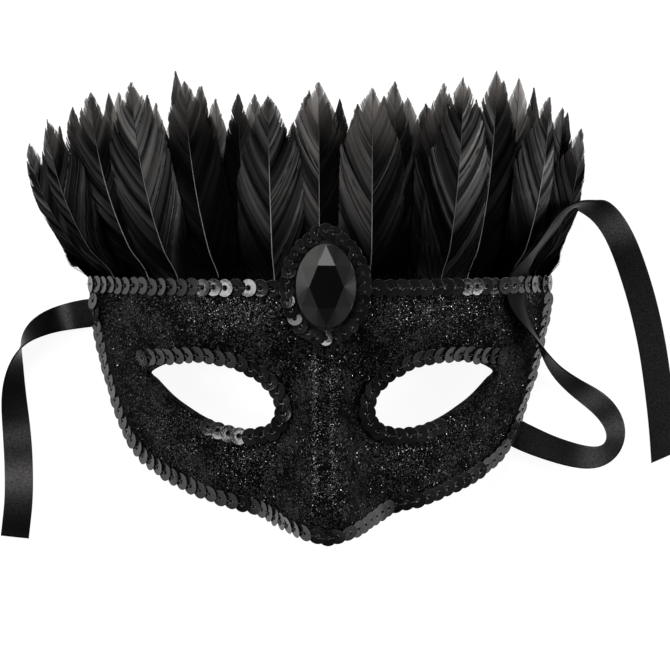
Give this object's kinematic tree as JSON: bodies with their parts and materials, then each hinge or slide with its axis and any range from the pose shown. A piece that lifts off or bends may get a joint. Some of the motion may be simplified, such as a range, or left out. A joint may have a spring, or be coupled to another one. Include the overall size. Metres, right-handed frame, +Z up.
{
  "type": "masquerade mask",
  "caption": "Half mask with eye holes, sequin trim, an oval faceted jewel, a crown of feathers and satin ribbon ties, lying face up.",
  "frame": {"origin": "on the table, under the middle of the box round the mask and its feathers, without the ribbon ties", "axes": "+Z up out of the face, +Y towards the feather tips, +X to the right as one looks at the face"},
  "size_m": [0.2437, 0.165, 0.0615],
  "materials": {
    "glitter_fabric": "black glitter cloth over a moulded shell",
    "sequin": "black cup sequins, glossy",
    "felt": "black felt",
    "jewel": "black faceted acrylic, polished",
    "feather": "dyed black feather with a soft sheen",
    "satin": "black satin ribbon"
  },
  "bodies": {
    "root": {"mask_shell": "glitter_fabric", "left_top_sequins": "sequin", "right_top_sequins": "sequin", "rim_sequins": "sequin", "left_eye_sequins": "sequin", "right_eye_sequins": "sequin", "jewel_backing": "felt", "jewel_sequins": "sequin", "jewel": "jewel", "feather_01": "feather", "feather_02": "feather", "feather_03": "feather", "feather_04": "feather", "feather_05": "feather", "feather_06": "feather", "feather_07": "feather", "feather_08": "feather", "feather_09": "feather", "feather_10": "feather", "feather_11": "feather", "feather_12": "feather", "feather_13": "feather", "feather_14": "feather", "feather_15": "feather", "feather_16": "feather", "feather_17": "feather", "feather_18": "feather", "feather_19": "feather", "feather_20": "feather", "feather_21": "feather", "feather_22": "feather", "feather_23": "feather", "feather_24": "feather", "feather_25": "feather", "feather_26": "feather", "feather_27": "feather", "feather_28": "feather", "feather_29": "feather", "feather_30": "feather", "feather_31": "feather", "feather_32": "feather", "feather_33": "feather", "feather_34": "feather", "feather_35": "feather", "feather_36": "feather", "feather_37": "feather", "feather_38": "feather", "feather_39": "feather", "feather_40": "feather", "feather_41": "feather", "left_ribbon": "satin", "right_ribbon": "satin"}
  },
  "joints": []
}
